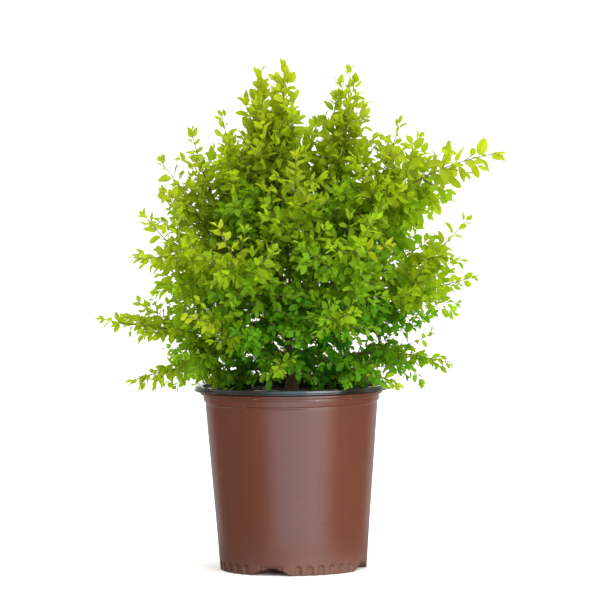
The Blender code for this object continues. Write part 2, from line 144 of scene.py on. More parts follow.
# Stem and limbs, as the solids have them
STEM_RADIUS = 0.0058
STEM_TIP_RADIUS = 0.0034
FLARE_RADIUS = 0.0098
FLARE_HEIGHT = 0.012
STEM_LEAN = Vector((-0.006, 0.004, 0))
STEM_SWAY = 0.0025
STEM_WAVES = 0.8
LOWEST_LIMB = 0.017
HIGHEST_ROOT = 0.86
BOUGH_RADIUS = 0.0022
BOUGH_SHARE = 0.22
LIMB_PULL = 0.38
LIMB_SAMPLES = 40
STEM_SIDES = 56
STEM_RINGS = 160
BOUGH_SIDES = 18
BOUGH_RINGS = 70
BARK_SHARE = 0.55  # share of a limb that has grey bark
BARK_END_RADIUS = 0.0011
BARK_RELIEF = 0.16  # depth of the bark's ridges as a share of the radius
STEM_GRAIN = 90  # ridges in a metre along the stem, and along a bough
BOUGH_GRAIN = 150
GREY_BARK = ((0.075, 0.050, 0.026), (0.180, 0.130, 0.075), (0.34, 0.27, 0.18))
TAN_BARK = ((0.080, 0.070, 0.020), (0.150, 0.132, 0.040), (0.20, 0.18, 0.08))

Limb = namedtuple(
    "Limb", "name launch finish rise flat slim fill gap leaf hang bearing reach height"
)
# Limbs in tiers, as in the source: a tip is (bearing in degrees, reach in mm, height in mm). A
# tier's limbs share the slopes at the stem and at the tip in degrees, how much their twigs rise
# and how steep these may be, the share of a leader's end without any, their length and spacing,
# and the size of the leaves and how far they hang.
TIERS = {
    "top": (
        dict(launch=62, finish=86, rise=0.5, flat=1, slim=0.15, fill=1, gap=0.9, leaf=1.1, hang=0),
        dict(peak=(240, 9, 598), left=(146, 40, 590), right=(8, 75, 590)),
    ),
    "upper": (
        dict(launch=52, finish=76, rise=0.2, flat=0.8, slim=0.25, fill=1.1, gap=0.9, leaf=0.92, hang=0),
        dict(
            left=(200, 84, 543),
            far_left=(160, 123, 520),
            right=(338, 142, 533),
            far_right=(30, 182, 510),
            front=(275, 100, 500),
            back=(98, 105, 520),
        ),
    ),
    "arching": (
        dict(launch=60, finish=8, rise=0, flat=0.8, slim=0.15, fill=0.8, gap=1, leaf=1.3, hang=0.4),
        dict(right=(350, 256, 489)),
    ),
    "middle": (
        dict(launch=40, finish=52, rise=0, flat=0.6, slim=0.35, fill=1.2, gap=0.8, leaf=0.9, hang=0.15),
        dict(
            far_left=(176, 156, 488),
            left=(204, 190, 430),
            right=(12, 220, 412),
            front_left=(240, 170, 420),
            front_right=(306, 175, 430),
            back_left=(128, 175, 430),
            back_right=(60, 175, 440),
        ),
    ),
    "low": (
        dict(launch=30, finish=14, rise=0.1, flat=0.4, slim=0.35, fill=1.1, gap=0.9, leaf=0.8, hang=0.25),
        dict(
            left=(163, 197, 366),
            far_left=(187, 232, 301),
            right=(348, 229, 346),
            front_left=(230, 195, 312),
            front_right=(294, 195, 318),
            back=(97, 215, 330),
        ),
    ),
    "skirt": (
        dict(launch=18, finish=-18, rise=-0.1, flat=0.5, slim=0.15, fill=1.1, gap=0.9, leaf=0.8, hang=0.35),
        dict(
            left=(184, 196, 222),
            right=(2, 195, 236),
            front=(263, 138, 240),
            front_right=(318, 176, 222),
            back=(82, 165, 234),
        ),
    ),
}
GROWTH_SEED = 5

# Side twigs on a leader, and twiglets on a side twig
LEADER_END_RADIUS = 0.0004
LEADER_POINTS = 40
LEADER_SIDES = 6
TWIG_START = 0.04
TWIG_STEP = 0.022
TWIG_SPACING = 1.25  # above 1, twigs are further apart towards a leader's tip
TWIG_LENGTH = 0.085
TWIG_REACH = 0.64  # a twig's length is at most this share of what is left of its leader
TIP_LEAF = 0.011  # how far a leader stops short of its limb's tip
TWIG_ANGLES = (math.radians(70), math.radians(38))  # near the stem, and at the leader's tip
TWIG_RADII = (0.00055, 0.00028)
TWIG_JITTER = 0.15
TWIGLET_STEP = 0.014
TWIGLET_LENGTH = 0.034
TWIGLET_TAPER = 0.5  # how much shorter they are at a twig's tip
TWIGLET_JITTER = 0.3
TWIGLET_ANGLE = math.radians(50)
SLIM_END = 0.036  # length of a twig's end that has leaves alone
TWIGLET_RADII = (0.00038, 0.0002)
SHOOT_STEP = 0.007
SHOOT_LEAST = 0.010
SHOOT_WOBBLE = 0.10
TWIG_POINTS = 7
TWIG_SIDES = 4

# Space that each mass keeps to
OVERLAP = 0.024
LIMB_CLEAR = 0.0012
RIM_CLEAR = 0.004
OPENING_RADIUS = 0.102  # nearer the axis, foliage may hang down to the soil
SKIRT_CLEAR = 0.010  # foliage hangs below the rim only this far outside it, left and right
SKIRT_Z = 0.204

# Leaves
LEAF_LENGTH = 0.0185
LEAF_SLIMNESS = 0.50  # width over length
LEAF_STEP = 0.0105
LAST_PAIR = 0.0006  # how far a shoot's last pair is from its tip
LEADER_BARE = 0.35  # share of a leader that has no leaves of its own
LEAF_ANGLE = math.radians(58)
YOUNG_ANGLE = math.radians(26)
YOUNG_SIZE = 0.68  # size of a tip leaf against a grown one
YOUNG_REACH = 0.024  # length of shoot over which leaves get smaller
LEAF_JITTER = 0.20
LEAF_SIZES = (0.78, 1.12)  # how sizes vary, and widths
LEAF_WIDTHS = (0.85, 1.15)
LEAF_ROLL = 0.62
LEAF_FOLD = (0.10, 0.42)
LEAF_DROOP = (0.02, 0.26)
PETIOLE_LENGTH = 0.0022
PETIOLE_WIDTH = 0.0008
BLADE_STATIONS = (0.0, 0.15, 0.42, 0.72, 0.93)
BLADE_FULLEST = 0.88  # below 1, a blade is widest past its middle
BLADE_BLUNT = 0.60  # below 1, its ends are blunter than a sine's
LEAF_TWIST = 0.45
EDGE_WAVE = 0.20  # how far a blade's edges ripple, over their distance from its midrib
SUNWARD = 0.55  # how strongly a blade looks up
OUTWARD = 0.40  # how strongly it looks away from the crown's middle
CROWN_AXIS_Z = 0.30
LEAF_GLOW = 0.50  # share of a leaf's surface that passes light through

# Leaf colours, darkest first, dealt by how young a spray is and by painted shade: darker greens
# go deep and low in the crown, lighter ones out at its top and sides. Colour of the blade, and of
# the light that comes through it
LEAF_COLOURS = {
    "shade": ((0.036, 0.165, 0.003), (0.05, 0.22, 0.003)),
    "deep": ((0.080, 0.235, 0.003), (0.12, 0.31, 0.003)),
    "fresh": ((0.148, 0.290, 0.003), (0.21, 0.39, 0.003)),
    "spring": ((0.200, 0.320, 0.004), (0.30, 0.48, 0.004)),
    "lime": ((0.240, 0.325, 0.005), (0.37, 0.52, 0.005)),
    "chartreuse": ((0.262, 0.318, 0.008), (0.40, 0.51, 0.008)),
}
GOLD = ((0.290, 0.330, 0.008), (0.44, 0.52, 0.008))
GOLD_SHARE = 0.012
HEART = Vector((0.05, -0.06, 0.25))  # middle of the darkest foliage: oldest leaves, and painted shade deep in the crown
HEART_REACH = Vector((0.28, 0.27, 0.28))  # how far from it the foliage is youngest and its painted light brightest
YOUTH_AND_LIGHT_LEAST = -0.06
YOUTH_AND_LIGHT_AWAY = 0.70  # what a spray's distance from the heart adds to its youth and painted light
YOUTH_AND_LIGHT_OUT = 0.36  # what its place out along its leader adds
YOUTH_AND_LIGHT_SPREAD = 0.06

# Camera: a long lens a little above the crown's middle, rolled slightly
CAMERA_PLACE = Vector((0.0, -7.86, 0.923))
CAMERA_AIM = Vector((0.0115, 0.0, 0.3157))
CAMERA_ROLL = math.radians(-0.71)
CAMERA_LENS = 403.6
SENSOR = 36.0
FRONT_STRENGTH = 0.87
BACK_STRENGTH = 1.65
UNDER_STRENGTH = 0.12
EDGE_STRENGTH = 0.55
PANEL_STRENGTH = 3.0
PANEL_TINT = (0.66, 1.13, 1.45)
BRIGHT_WAY = (0.0, 1.0, 0.8)
PANEL_WAY = (0.175, -0.952, -0.25)
# Two soft boxes: where each stands, what it aims at, its width and height, and its power
KEY_LIGHT = ((1.75, -2.15, 0.75), (0, 0, 0.25), (2.0, 2.1), 105)
TOP_LIGHT = ((0.2, -0.4, 3.0), (0, 0, 0.3), (2.0, 2.0), 60)
FLOOR_RADIUS = 30
FLOOR_COLOURS = ((0.86, 0.86, 0.85), (0.90, 0.90, 0.89))


# Finishes


class Tone:
    """A value over a surface. Arithmetic on it adds Math nodes."""

    def __init__(self, finish, socket):
        self.finish = finish
        self.socket = socket

    def maths(self, operation, *values):
        sockets = dict(enumerate(values))
        return self.finish.node("ShaderNodeMath", {"operation": operation}, sockets)

    def __add__(self, other):
        return self.maths("ADD", self, other)

    def __sub__(self, other):
        return self.maths("SUBTRACT", self, other)

    def __mul__(self, other):
        return self.maths("MULTIPLY", self, other)

    def __truediv__(self, other):
        return self.maths("DIVIDE", self, other)

    def __rsub__(self, other):
        return self.maths("SUBTRACT", other, self)

    __radd__ = __add__
    __rmul__ = __mul__


class Finish:
    """A procedural material, built node by node round its shader. The world's light is one too."""

    def __init__(
        self, name, kind=bpy.data.materials, shader="Principled BSDF", place="Object"
    ):
        self.material = kind.new(name)
        self.material.use_nodes = True
        self.tree = self.material.node_tree
        self.shader = self.tree.nodes[shader]
        self.place = self.node("ShaderNodeTexCoord", out=place)

    def feed(self, socket, value):
        """Link a tone to a socket, or set the socket's own value."""
        if isinstance(value, Tone):
            self.tree.links.new(value.socket, socket)
        else:
            socket.default_value = value

    def node(self, kind, settings=None, sockets=None, out=0):
        """Add a node: its settings first, then a value or a link for each socket."""
        made = self.tree.nodes.new(kind)
        for key, value in (settings or {}).items():
            if key == "stops":
                self.set_stops(made.color_ramp, value)
            else:
                setattr(made, key, value)
        inputs = {socket.identifier: socket for socket in made.inputs}
        for key, value in (sockets or {}).items():
            self.feed(made.inputs[key] if isinstance(key, int) else inputs[key], value)
        outputs = {socket.identifier: socket for socket in made.outputs}
        return Tone(self, made.outputs[out] if isinstance(out, int) else outputs[out])

    def set_stops(self, ramp, stops):
        for place, colour in stops[2:]:
            ramp.elements.new(place)
        for element, (place, colour) in zip(ramp.elements, stops):
            element.position = place
            element.color = (*colour, 1)

    def stretched(self, x, y, z):
        """Object coordinates multiplied along each axis."""
        return self.node(
            "ShaderNodeVectorMath", {"operation": "MULTIPLY"}, {0: self.place, 1: (x, y, z)}
        )

    def noise(self, scale, detail=3.0, roughness=0.55, place=None):
        place = place or self.place
        sockets = {"Vector": place, "Scale": scale, "Detail": detail, "Roughness": roughness}
        return self.node("ShaderNodeTexNoise", None, sockets)

    def step(self, value, low, high):
        """0 below low, 1 above high and a smooth ramp between."""
        return self.node(
            "ShaderNodeMapRange",
            {"interpolation_type": "SMOOTHSTEP"},
            {"Value": value, "From Min": low, "From Max": high},
        )

    def mix(self, share, first, second):
        """A colour between two, by share."""
        first, second = [c if isinstance(c, Tone) else (*c, 1) for c in (first, second)]
        return self.node(
            "ShaderNodeMix",
            {"data_type": "RGBA"},
            {"Factor_Float": share, "A_Color": first, "B_Color": second},
            out="Result_Color",
        )

    def mark(self, name):
        """A number kept on the mesh's points."""
        return self.node("ShaderNodeAttribute", {"attribute_name": name}, out="Fac")

    def height(self):
        """Height above the ground, in metres."""
        return self.node("ShaderNodeSeparateXYZ", None, {0: self.place}, out="Z")

    def bump(self, relief, strength, distance):
        sockets = {"Height": relief, "Strength": strength, "Distance": distance}
        self.feed(self.shader.inputs["Normal"], self.node("ShaderNodeBump", None, sockets))

    def surface(self, **sockets):
        """Feed the Principled shader. A word's underscore is a space."""
        for name, value in sockets.items():
            key = name.replace("_", " ").title().replace("Ior", "IOR")
            if isinstance(value, tuple):
                value = (*value, 1)
            self.feed(self.shader.inputs[key], value)


def brown_plastic():
    """Moulded brown plastic, half glossy, with a dusty foot and pale scuffs at the steps."""
    finish = Finish("pot_brown")
    cloud = finish.noise(9, 3)
    drawn = finish.noise(1, 3, place=finish.stretched(260, 260, 6))
    scratch = finish.noise(1, 2, place=finish.stretched(60, 60, 420))
    height = finish.height()
    colour = finish.mix(cloud, (0.085, 0.024, 0.012), (0.107, 0.032, 0.017))
    colour = finish.mix(drawn * 0.25, colour, (0.058, 0.018, 0.010))
    on_neck = finish.step(height, NECK_Z - 0.012, NECK_Z)
    rubbed = finish.step(scratch, 0.70, 0.78) * on_neck
    colour = finish.mix(rubbed * 0.55, colour, (0.46, 0.33, 0.27))
    dust = (1 - finish.step(height, 0.0, 0.030)) * finish.step(cloud, 0.35, 0.75)
    colour = finish.mix(dust * 0.12, colour, (0.36, 0.27, 0.21))
    scuffed = 1 - finish.step(height, 0.0, 0.060)
    rough = 0.24 + cloud * 0.06 + rubbed * 0.25 + scuffed * 0.30
    finish.surface(base_color=colour, roughness=rough, specular_ior_level=0.30)
    finish.bump(drawn, 0.06, 0.0006)
    return finish.material


def black_plastic():
    """Black plastic of the rolled lip and the pot's lining, with a thin film of soil dust."""
    finish = Finish("pot_black")
    cloud = finish.noise(26, 4)
    grain = finish.noise(500, 2)
    colour = finish.mix(cloud, (0.004, 0.004, 0.004), (0.012, 0.011, 0.011))
    dust = finish.step(cloud, 0.52, 0.72) * finish.step(grain, 0.40, 0.60)
    colour = finish.mix(dust * 0.20, colour, (0.075, 0.060, 0.045))
    rough = 0.13 + cloud * 0.10 + dust * 0.25
    finish.surface(base_color=colour, roughness=rough, specular_ior_level=0.45)
    finish.bump(grain, 0.08, 0.0005)
    return finish.material


def potting_mix():
    finish = Finish("soil")
    lump = finish.noise(90, 5)
    crumb = finish.noise(420, 3)
    colour = finish.mix(lump, (0.004, 0.003, 0.002), (0.026, 0.016, 0.010))
    colour = finish.mix(finish.step(crumb, 0.55, 0.75) * 0.6, colour, (0.050, 0.030, 0.018))
    finish.surface(base_color=colour, roughness=0.92 + crumb * 0.06)
    finish.bump(lump * 0.6 + crumb * 0.4, 0.8, 0.002)
    return finish.material


def bark_chips():
    finish = Finish("soil_chips")
    patch = finish.noise(130, 3)
    fibre = finish.noise(1, 3, place=finish.stretched(900, 300, 300))
    colour = finish.mix(patch, (0.012, 0.006, 0.004), (0.085, 0.044, 0.023))
    colour = finish.mix(fibre * 0.5, colour, (0.024, 0.014, 0.009))
    finish.surface(base_color=colour, roughness=0.80 + patch * 0.12)
    finish.bump(fibre, 0.6, 0.0008)
    return finish.material


def bark(name, dull, pale, lenticel):
    """Thin privet bark: fine upright grain with small pale lenticels."""
    finish = Finish(name)
    patch = finish.noise(70, 4)
    grain = finish.noise(1, 3, place=finish.stretched(900, 900, 160))
    spots = finish.node(
        "ShaderNodeTexVoronoi",
        {"feature": "F1"},
        {"Vector": finish.stretched(1, 1, 1.6), "Scale": 330.0},
        out="Distance",
    )
    colour = finish.mix(patch, dull, pale)
    colour = finish.mix(finish.step(grain, 0.52, 0.70) * 0.55, colour, dull)
    colour = finish.mix((1 - finish.step(spots, 0.16, 0.30)) * 0.65, colour, lenticel)
    rough = 0.68 + grain * 0.18
    finish.surface(base_color=colour, roughness=rough, specular_ior_level=0.20)
    finish.bump(grain * 0.7 + (1 - spots) * 0.3, 0.55, 0.0006)
    return finish.material


def leaf_blade(name, colour, through):
    """A leaf: paler midrib and side veins, mottled blade, and light that comes through it."""
    finish = Finish(name)
    across, along, tint = [finish.mark(key) for key in ("across", "along", "tint")]
    mottle = finish.noise(240, 2)
    dark = tuple(c * 0.62 for c in colour)
    pale = tuple(c * 1.30 + 0.002 for c in colour)
    rib = tuple(c * 1.25 + 0.02 for c in colour)
    shade = finish.mix(tint * 0.75 + mottle * 0.25, dark, pale)
    slant = along * 7 - across * 2.6
    veins = finish.step(slant.maths("PINGPONG", slant, 0.5), 0.40, 0.5)
    on_blade = finish.step(across, 0.08, 0.2)
    shade = finish.mix(veins * on_blade * 0.14, shade, rib)
    shade = finish.mix((1 - on_blade) * 0.35, shade, rib)
    finish.surface(base_color=shade, roughness=0.50 + mottle * 0.14, specular_ior_level=0.14)
    finish.bump(veins * 0.5 + on_blade * 0.5 + mottle * 0.3, 0.35, 0.0004)
    glow = finish.node("ShaderNodeBsdfTranslucent", None, {"Color": (*through, 1)})
    body = Tone(finish, finish.shader.outputs[0])
    both = finish.node("ShaderNodeMixShader", None, {0: LEAF_GLOW, 1: body, 2: glow})
    finish.feed(finish.tree.nodes["Material Output"].inputs["Surface"], both)
    return finish.material


def studio_floor():
    finish = Finish("studio_floor")
    colour = finish.mix(finish.noise(1.5, 2), *FLOOR_COLOURS)
    finish.surface(base_color=colour, roughness=0.85)
    return finish.material


# Meshes


def piece(name, points, faces, finish, slot, nodes, smooth=True, marks=None):
    """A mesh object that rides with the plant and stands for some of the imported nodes."""
    mesh = bpy.data.meshes.new(name)
    mesh.from_pydata(np.asarray(points).tolist(), [], faces)
    mesh.polygons.foreach_set("use_smooth", np.full(len(mesh.polygons), smooth))
    for key, values in (marks or {}).items():
        mesh.attributes.new(key, "FLOAT", "POINT").data.foreach_set("value", values)
    mesh.materials.append(finish)
    mesh.update()
    made = bpy.data.objects.new(name, mesh)
    bpy.context.scene.collection.objects.link(made)
    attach(made, BODY)
    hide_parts(*nodes)
    return made


def face_outwards(made):
    bm = bmesh.new()
    bm.from_mesh(made.data)
    bmesh.ops.recalc_face_normals(bm, faces=bm.faces)
    bm.to_mesh(made.data)
    bm.free()


def rounded(corners):
    """Radii and heights along a profile, from corners with a rounding each."""
    points = []
    for k, (radius, z, rounding) in enumerate(corners):
        corner = np.array((radius, z))
        if rounding == 0:
            points.append(corner)
            continue
        before = np.array(corners[k - 1][:2]) - corner
        after = np.array(corners[k + 1][:2]) - corner
        start = corner + before * min(0.5, rounding / np.linalg.norm(before))
        end = corner + after * min(0.5, rounding / np.linalg.norm(after))
        for t in np.linspace(0, 1, ARC_STEPS + 1):
            points.append(start * (1 - t) ** 2 + corner * 2 * t * (1 - t) + end * t * t)
    return np.array(points)


def lathe(profile, steps, relief=None):
    """Points and faces of a profile turned about Z, from the axis back to the axis."""
    turns = TURN * np.arange(steps) / steps
    radius, z = profile[1:-1, 0], profile[1:-1, 1]
    radius = np.repeat(radius[:, None], steps, axis=1)
    z = np.repeat(z[:, None], steps, axis=1)
    if relief:
        radius, z = relief(turns[None, :], radius, z)
    rings = np.stack([radius * np.cos(turns), radius * np.sin(turns), z], axis=-1)
    rows = len(rings)
    poles = [(0, 0, profile[0, 1]), (0, 0, profile[-1, 1])]
    points = np.concatenate([rings.reshape(-1, 3), poles])
    ids = np.arange(rows * steps).reshape(rows, steps)
    beside = np.roll(ids, -1, axis=1)
    faces = np.stack([ids[:-1], beside[:-1], beside[1:], ids[1:]], axis=-1).reshape(-1, 4).tolist()
    first, last = rows * steps, rows * steps + 1
    faces += [(first, b, a) for a, b in zip(ids[0].tolist(), beside[0].tolist())]
    faces += [(last, a, b) for a, b in zip(ids[-1].tolist(), beside[-1].tolist())]
    return points, faces


def unit(vectors):
    return vectors / np.linalg.norm(vectors, axis=-1, keepdims=True)


def tubes(ways, radii, sides):
    """Points and faces of tubes round paths: ways is (tubes, points, 3), radii fits it."""
    ahead = unit(np.gradient(ways, axis=1))
    upright = np.abs(unit(ways[:, -1] - ways[:, 0])[:, 2]) > 0.8
    level = np.where(upright[:, None], (1.0, 0.0, 0.0), (0.0, 0.0, 1.0))
    across = unit(np.cross(ahead, level[:, None, :]))
    other = np.cross(ahead, across)
    turns = TURN * np.arange(sides) / sides
    cosine, sine = np.cos(turns)[:, None], np.sin(turns)[:, None]
    spokes = across[:, :, None] * cosine + other[:, :, None] * sine
    if radii.ndim == 2:
        radii = radii[:, :, None]
    points = ways[:, :, None] + spokes * radii[..., None]
    count, long = ways.shape[:2]
    ids = np.arange(count * long * sides).reshape(count, long, sides)
    beside = np.roll(ids, -1, axis=2)
    walls = np.stack([ids[:, :-1], beside[:, :-1], beside[:, 1:], ids[:, 1:]], axis=-1)
    ends = ids[:, 0, ::-1].tolist() + ids[:, -1].tolist()
    return points.reshape(-1, 3), walls.reshape(-1, 4).tolist() + ends


# Pot and soil


def wall_radius(z):
    share = (z - FOOT_ROUND) / (WALL_TOP_Z - FOOT_ROUND)
    return FOOT_RADIUS + share * (WALL_TOP_RADIUS - FOOT_RADIUS)


def off_bearing(turns, bearing):
    """Signed angle from a bearing, between minus and plus half a turn."""
    return (turns - bearing + TURN / 2) % TURN - TURN / 2


def rim_relief(turns, radius, z):
    """Bend the rim up in front and behind."""
    share = np.clip((z - NECK_Z) / (LEDGE_LOW_Z - NECK_Z), 0, 1)
    return radius, z + RIM_WAVE * share * np.sin(turns) ** 2


def pot_relief(turns, radius, z):
    """Press notches, their recesses and slits, and flutes into the pot's foot, and bend its rim."""
    for notch in range(NOTCHES):
        bearing = NOTCH_BEARING + notch * TURN / NOTCHES
        across = np.abs(off_bearing(turns, bearing)) * FOOT_RADIUS
        rise = np.clip(z / NOTCH_HEIGHT, 0, 1)
        half = (NOTCH_WIDTH_BELOW + (NOTCH_WIDTH_ABOVE - NOTCH_WIDTH_BELOW) * rise) / 2
        opening = (across < half) & (z < NOTCH_HEIGHT)
        radius = np.where(opening, np.minimum(radius, FOOT_RADIUS - NOTCH_DEPTH), radius)
        recess = (across < RECESS_WIDTH / 2) & (z > NOTCH_HEIGHT) & (z < RECESS_HIGH_Z)
        slit = recess & (across < DRAIN_WIDTH / 2) & (z < DRAIN_HIGH_Z)
        radius = radius - np.where(slit, DRAIN_DEPTH, np.where(recess, RECESS_DEPTH, 0))
        for flute in range(FLUTES_BETWEEN):
            middle = bearing + TURN / NOTCHES / 2
            turn = middle + (flute - (FLUTES_BETWEEN - 1) / 2) * FLUTE_PITCH
            across = off_bearing(turns, turn) * FOOT_RADIUS
            above = np.maximum(z - (FLUTE_HEIGHT - FLUTE_WIDTH / 2), 0)
            hollow = 1 - (across**2 + above**2) / (FLUTE_WIDTH / 2) ** 2
            on_wall = radius > FOOT_RADIUS - FOOT_ROUND - SKIN
            hollow = np.where(on_wall, np.sqrt(np.clip(hollow, 0, 1)), 0)
            radius = radius - FLUTE_DEPTH * hollow
    return rim_relief(turns, radius, z)


def groove(above, below, z):
    """Corners of a groove between a wall of one radius above it and another below."""
    floor = below - GROOVE_DEPTH
    low = z - GROOVE_HEIGHT
    return [(above, z), (floor, z - STEP_SLOPE), (floor, low + STEP_SLOPE), (below, low)]


def steps_below_lip(inset, rounding=STEP_ROUND):
    """Corners of the ledge, the neck and the grooves below them, moved in by inset."""
    high, low = NECK_RADII
    corners = groove(LEDGE_RADIUS, high, LEDGE_LOW_Z) + groove(low, WALL_TOP_RADIUS, NECK_Z)
    edge = (LEDGE_RADIUS - inset, LEDGE_HIGH_Z, rounding and LEDGE_ROUND)
    start = (high - inset, FLANGE_LOW_Z - SKIN_GAP, 0)
    return [start, edge] + [(radius - inset, z, rounding) for radius, z in corners]


def wall_rows(inset, low):
    """Rows of the straight wall from its top down to a height, close together at the foot."""
    above, below = WALL_ROWS_INSET
    high = np.linspace(WALL_TOP_Z - above, FOOT_ROWS_Z + below, WALL_ROWS)
    foot = np.arange(FOOT_ROWS_Z, low, -FOOT_ROW_STEP)
    return [(wall_radius(z) - inset, z, 0) for z in np.concatenate([high, foot])]


def make_pot():
    brown, black = brown_plastic(), black_plastic()
    outer = steps_below_lip(0) + wall_rows(0, FOOT_ROUND)
    inner = steps_below_lip(SKIN, 0) + wall_rows(SKIN, FOOT_ROUND)
    inner += [(FOOT_RADIUS - SKIN - FOOT_ROUND, SKIN, 0)]
    foot = [(FOOT_RADIUS, 0, FOOT_ROUND), (FOOT_RADIUS - NOTCH_DEPTH - WALL, 0, 0)]
    profile = rounded([(0, SKIN, 0)] + inner[::-1] + outer + foot + [(0, 0, 0)])
    shell = lathe(profile, POT_STEPS, pot_relief)
    body = piece("pot_body", *shell, brown, "pot_plastic", ["pot"])
    face_outwards(body)

    inset = SKIN + SKIN_GAP
    lip_inside, lip_z = LIP_RADIUS - LIP_WIDTH, POT_HEIGHT + LIP_RISE
    flange = LIP_RADIUS + FLANGE_OVERHANG
    outside = steps_below_lip(inset) + wall_rows(inset, LINING_FLOOR_Z)
    floor_z = LINING_FLOOR_Z + WALL / 2
    inside = [
        (lip_inside - LIP_UNDERCUT, LEDGE_HIGH_Z, LIP_UNDERCUT_ROUND),
        (NECK_RADII[0] - WALL, LEDGE_LOW_Z, LINING_ROUND),
        (WALL_TOP_RADIUS - WALL, NECK_Z, LINING_ROUND),
        (WALL_TOP_RADIUS - WALL, WALL_TOP_Z, 0),
        (wall_radius(LINING_FLOOR_Z) - WALL, floor_z, 0),
    ]
    lip = [
        (lip_inside, lip_z, LIP_ROUND),
        (LIP_RADIUS, lip_z, LIP_ROUND),
        (LIP_RADIUS, FLANGE_HIGH_Z, STEP_ROUND),
        (flange, FLANGE_HIGH_Z, FLANGE_ROUND),
        (flange, FLANGE_LOW_Z, FLANGE_ROUND),
    ]
    corners = [(0, floor_z, 0)] + inside[::-1] + lip + outside
    profile = rounded(corners + [(0, outside[-1][1], 0)])
    shell = lathe(profile, LINING_STEPS, rim_relief)
    lining = piece("pot_lining", *shell, black, "pot_plastic", ["pot"])
    face_outwards(lining)


def soil_height(radius):
    """The soil's mean height at a distance from the axis."""
    places = [0, SOIL_SHOULDER_RADIUS, SOIL_RIM_RADIUS]
    return np.interp(radius, places, [SOIL_TOP_Z, SOIL_SHOULDER_Z, SOIL_RIM_Z])


def soil_relief(x, y):
    """Lumps in the soil's surface, fading out at the stem."""
    lump = noise.fractal(Vector((x, y, 0)) * SOIL_LUMPS, 0.9, 2.1, 4)
    near, far = SOIL_CALM
    fade = min(1.0, max(0.0, math.hypot(x, y) - near) / (far - near))
    return SOIL_RELIEF * fade * (lump - 0.35)


def make_soil():
    wall = WALL_TOP_RADIUS - WALL - SOIL_GAP
    low = SOIL_RIM_Z - SOIL_DEPTH
    rings = wall * np.linspace(0, 1, SOIL_RINGS)
    profile = [(radius, soil_height(radius)) for radius in rings]
    profile += [(wall, WALL_TOP_Z), (wall_radius(low) - WALL - SOIL_GAP, low), (0, low)]
    points, faces = lathe(np.array(profile), SOIL_STEPS)
    top = points[:, 2] > SOIL_RIM_Z - SOIL_GAP
    for k in np.flatnonzero(top).tolist():
        points[k, 2] += soil_relief(points[k, 0], points[k, 1])
    soil = piece("soil", points, faces, potting_mix(), "soil", ["potting_soil"])
    face_outwards(soil)


def make_chips():
    """Splinters of composted bark lying in the top of the soil."""
    rng = random.Random("chips")
    box = np.array([(x, y, z) for x in (-1, 1) for y in (-1, 1) for z in (-1, 1)]) / 2
    sides = [(0, 1, 3, 2), (4, 6, 7, 5), (0, 4, 5, 1), (2, 3, 7, 6), (0, 2, 6, 4), (1, 5, 7, 3)]
    low, high = CHIP_LENGTH
    points, faces = [], []
    for _ in range(CHIPS):
        radius = (SOIL_RIM_RADIUS - CHIP_CLEAR) * math.sqrt(rng.random())
        turn = rng.uniform(0, TURN)
        x, y = radius * math.cos(turn), radius * math.sin(turn)
        length = low + (high - low) * rng.random() ** 2.5
        width, thickness = rng.uniform(*CHIP_WIDTH), rng.uniform(*CHIP_THICKNESS)
        size = (length, length * width, length * thickness)
        tilts = rng.gauss(0, CHIP_TILT), rng.gauss(0, CHIP_TILT)
        lie = Euler((*tilts, rng.uniform(0, TURN))).to_matrix()
        base = len(points)
        z = soil_height(radius) + soil_relief(x, y) + size[2] * 0.1
        for corner in box:
            bent = Vector([c * s * rng.uniform(0.6, 1.1) for c, s in zip(corner, size)])
            points.append(lie @ bent + Vector((x, y, z)))
        faces += [tuple(base + k for k in side) for side in sides]
    piece("soil_chips", points, faces, bark_chips(), "soil", ["potting_soil"], smooth=False)


# Limbs, by the solids' rule


def stem_point(share):
    sway = STEM_SWAY * math.sin(TURN * STEM_WAVES * share)
    foot = UP * STEM_FOOT_Z
    return foot + STEM_LEAN * share + Vector((sway, -sway / 2, STEM_HEIGHT * share))


def stem_radius(share):
    flare = math.exp(-share * STEM_HEIGHT / FLARE_HEIGHT)
    taper = STEM_RADIUS + (STEM_TIP_RADIUS - STEM_RADIUS) * share
    return taper + (FLARE_RADIUS - STEM_RADIUS) * flare


def heading(bearing, slope):
    """Unit vector at a compass bearing and a slope above level, both in degrees."""
    turn, rise = math.radians(bearing), math.radians(slope)
    return Vector(
        (math.cos(rise) * math.cos(turn), math.cos(rise) * math.sin(turn), math.sin(rise))
    )


def all_limbs():
    """Every limb, lowest tip first."""
    limbs = []
    for tier, (shared, sides) in TIERS.items():
        for side, (bearing, reach, height) in sides.items():
            tip = dict(bearing=bearing, reach=reach / 1000, height=height / 1000)
            limbs.append(Limb(name=f"{tier}_{side}", **shared, **tip))
    return sorted(limbs, key=lambda limb: limb.height)


def root_shares(limbs):
    """Where limbs leave the stem, evenly up it in order, the last carrying on from its tip."""
    low = LOWEST_LIMB / STEM_HEIGHT
    count = len(limbs) - 1
    return [low + (HIGHEST_ROOT - low) * k / (count - 1) for k in range(count)] + [1]


def limb_path(limb, share):
    """Sampled axis of a limb, from the stem's axis to the tip, as one cubic curve."""
    root = stem_point(share)
    tip = heading(limb.bearing, 0) * limb.reach + UP * limb.height
    pull = (tip - root).length * LIMB_PULL
    out = root + heading(limb.bearing, limb.launch) * pull
    back = tip - heading(limb.bearing, limb.finish) * pull
    points = []
    for k in range(LIMB_SAMPLES + 1):
        t = k / LIMB_SAMPLES
        s = 1 - t
        points.append(root * s**3 + out * 3 * s * s * t + back * 3 * s * t * t + tip * t**3)
    return points


def length_of(points):
    return sum((b - a).length for a, b in zip(points, points[1:]))


def point_and_way(points, at):
    """The point at a distance along a path, and the direction there."""
    for a, b in zip(points, points[1:]):
        step = (b - a).length
        if at <= step or b is points[-1]:
            break
        at -= step
    return a.lerp(b, min(at / step, 1)), (b - a).normalized()


